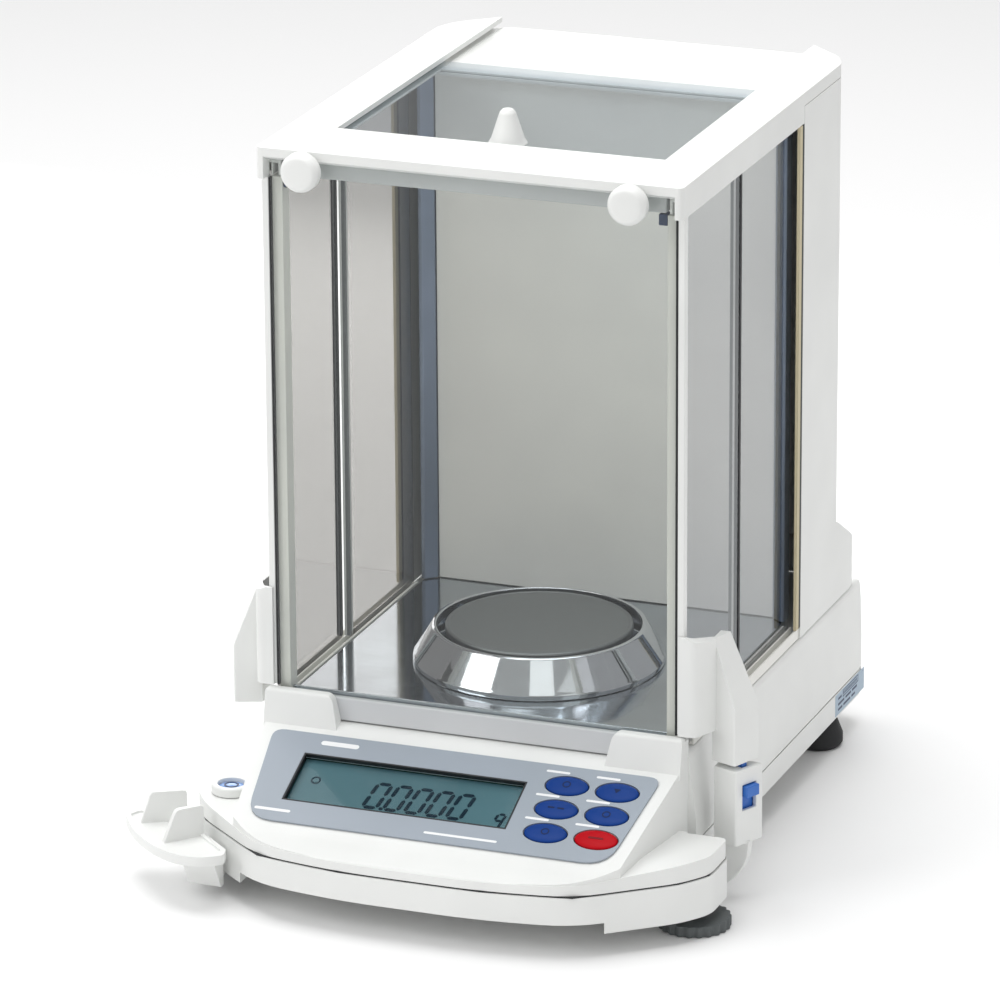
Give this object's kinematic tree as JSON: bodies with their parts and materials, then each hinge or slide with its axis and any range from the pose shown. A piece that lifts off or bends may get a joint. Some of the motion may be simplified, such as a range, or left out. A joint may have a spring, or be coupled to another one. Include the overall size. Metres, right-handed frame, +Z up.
{
  "type": "analytical balance",
  "caption": "Analytical balance with a round weighing pan in a glass draft shield, telescoping side doors, sliding top door and sloping keypad.",
  "frame": {"origin": "middle of the bounding box's footprint, on the table under the feet", "axes": "+X to the user's right, +Y to the back of the balance, +Z up; the weighing pan faces +Z"},
  "size_m": [0.2758, 0.3352, 0.3414],
  "materials": {
    "white_plastic": "fine moulded texture, satin",
    "grey_plastic": "satin moulded",
    "keypad_film": "printed polyester film",
    "blue_plastic": "satin",
    "red_plastic": "satin",
    "navy_plastic": "satin",
    "display_glass": "clear window",
    "lcd": "reflective LCD",
    "circuit_board": "solder mask",
    "aluminium": "satin anodised",
    "stainless_floor": "fine brushed",
    "stainless_pan": "fine bead blasted",
    "stainless_weight": "turned and polished",
    "polished_ring": "polished",
    "shield_glass": "clear float glass",
    "beige_seal": "soft seal",
    "foot_grey": "moulded",
    "black_rubber": "matt",
    "black_plastic": "satin",
    "vial": "clear tinted"
  },
  "bodies": {
    "base": {"bottom_case": "white_plastic", "base_cover": "white_plastic", "front_lip": "grey_plastic", "power_inlet": "black_plastic", "level_ring": "white_plastic", "level_vial": "vial", "keypad_overlay": "keypad_film", "lcd_window": "display_glass", "lcd_module": "lcd", "display_board": "circuit_board", "chamber_floor": "stainless_floor", "pan_support": "aluminium", "load_cell_body": "aluminium", "load_cell_lever": "aluminium", "main_board": "circuit_board", "top_beam": "grey_plastic", "front_glass": "shield_glass", "rear_housing": "white_plastic", "back_wall": "grey_plastic", "top_frame": "white_plastic", "front_post_right": "aluminium", "front_post_left": "aluminium", "corner_clip_right": "navy_plastic", "corner_clip_left": "navy_plastic", "door_track_right": "aluminium", "door_track_left": "aluminium", "column_seal_right": "beige_seal", "column_seal_left": "beige_seal", "rear_foot_right": "black_rubber", "rear_foot_left": "black_rubber", "corner_strip_right": "grey_plastic", "corner_strip_left": "grey_plastic"},
    "right_front_door": {"front_pane_right": "shield_glass", "front_stile_right": "white_plastic", "door_handle_right": "white_plastic"},
    "right_rear_door": {"rear_pane_right": "shield_glass", "rear_stile_right": "white_plastic"},
    "left_front_door": {"front_pane_left": "shield_glass", "front_stile_left": "white_plastic", "door_handle_left": "white_plastic"},
    "left_rear_door": {"rear_pane_left": "shield_glass", "rear_stile_left": "white_plastic"},
    "top_door": {"top_pane": "shield_glass", "top_knob": "white_plastic"},
    "carriage": {"door_carriage": "white_plastic"},
    "latch": {"latch_slide": "blue_plastic"},
    "grip": {"grip_lever": "white_plastic"},
    "pan": {"weighing_pan": "stainless_pan"},
    "ring": {"breeze_ring": "polished_ring"},
    "cal_weight": {"calibration_weight": "stainless_weight"},
    "screw_right": {"glass_screw_right": "white_plastic"},
    "screw_left": {"glass_screw_left": "white_plastic"},
    "foot_right": {"front_foot_right": "foot_grey"},
    "foot_left": {"front_foot_left": "foot_grey"},
    "power_button": {"power_key": "blue_plastic"},
    "calibrate_button": {"calibrate_key": "blue_plastic"},
    "range_button": {"range_key": "blue_plastic"},
    "print_button": {"print_key": "blue_plastic"},
    "mode_button": {"mode_key": "blue_plastic"},
    "rezero_button": {"rezero_key": "red_plastic"}
  },
  "joints": [
    {"name": "right_door_slide", "type": "slide", "parent": "base", "child": "right_front_door", "axis": [0, 1, 0], "range_m": [0, 0.12]},
    {"name": "right_rear_door_slide", "type": "slide", "parent": "base", "child": "right_rear_door", "axis": [0, 1, 0], "range_m": [0, 0.048]},
    {"name": "left_door_slide", "type": "slide", "parent": "base", "child": "left_front_door", "axis": [0, 1, 0], "range_m": [0, 0.12]},
    {"name": "left_rear_door_slide", "type": "slide", "parent": "base", "child": "left_rear_door", "axis": [0, 1, 0], "range_m": [0, 0.048]},
    {"name": "top_door_slide", "type": "slide", "parent": "base", "child": "top_door", "axis": [0, 1, 0], "range_m": [0, 0.074]},
    {"name": "carriage_slide", "type": "slide", "parent": "base", "child": "carriage", "axis": [0, 1, 0], "range_m": [0, 0.12]},
    {"name": "grip_swing", "type": "hinge", "parent": "base", "child": "grip", "pos_m": [-0.09875, -0.10469, 0.01], "axis": [0, 0, -1], "range_deg": [0, 80]},
    {"name": "latch_drop", "type": "slide", "parent": "carriage", "child": "latch", "axis": [0, 0, -1], "range_m": [0, 0.006]},
    {"name": "pan_lift", "type": "slide", "parent": "base", "child": "pan", "axis": [0, 0, 1], "range_m": [0, 0.04]},
    {"name": "ring_lift", "type": "slide", "parent": "base", "child": "ring", "axis": [0, 0, 1], "range_m": [0, 0.04]},
    {"name": "calibration_lift", "type": "slide", "parent": "base", "child": "cal_weight", "axis": [0, 0, 1], "range_m": [0, 0.003]},
    {"name": "screw_right_turn", "type": "hinge", "parent": "base", "child": "screw_right", "pos_m": [0.08595, -0.09138, 0.3199], "axis": [0, 1, 0], "continuous": true},
    {"name": "screw_left_turn", "type": "hinge", "parent": "base", "child": "screw_left", "pos_m": [-0.06405, -0.09138, 0.3199], "axis": [0, 1, 0], "continuous": true},
    {"name": "foot_right_turn", "type": "hinge", "parent": "base", "child": "foot_right", "pos_m": [0.12065, -0.10469, 0.005], "axis": [0, 0, 1], "continuous": true},
    {"name": "foot_left_turn", "type": "hinge", "parent": "base", "child": "foot_left", "pos_m": [-0.09875, -0.10469, 0.005], "axis": [0, 0, 1], "continuous": true},
    {"name": "power_press", "type": "slide", "parent": "base", "child": "power_button", "axis": [0, 0.4, -0.9165], "range_m": [0, 0.001], "stiffness_N_per_m": 400},
    {"name": "calibrate_press", "type": "slide", "parent": "base", "child": "calibrate_button", "axis": [0, 0.4, -0.9165], "range_m": [0, 0.001], "stiffness_N_per_m": 400},
    {"name": "range_press", "type": "slide", "parent": "base", "child": "range_button", "axis": [0, 0.4, -0.9165], "range_m": [0, 0.001], "stiffness_N_per_m": 400},
    {"name": "print_press", "type": "slide", "parent": "base", "child": "print_button", "axis": [0, 0.4, -0.9165], "range_m": [0, 0.001], "stiffness_N_per_m": 400},
    {"name": "mode_press", "type": "slide", "parent": "base", "child": "mode_button", "axis": [0, 0.4, -0.9165], "range_m": [0, 0.001], "stiffness_N_per_m": 400},
    {"name": "rezero_press", "type": "slide", "parent": "base", "child": "rezero_button", "axis": [0, 0.4, -0.9165], "range_m": [0, 0.001], "stiffness_N_per_m": 400}
  ],
  "couplings": [
    {"joint": "right_rear_door_slide", "follows": "right_door_slide", "ratio": 0.4},
    {"joint": "left_rear_door_slide", "follows": "left_door_slide", "ratio": 0.4},
    {"joint": "carriage_slide", "follows": "right_door_slide", "ratio": 1},
    {"joint": "grip_swing", "follows": "right_door_slide", "rad_per_m": 11.634}
  ]
}
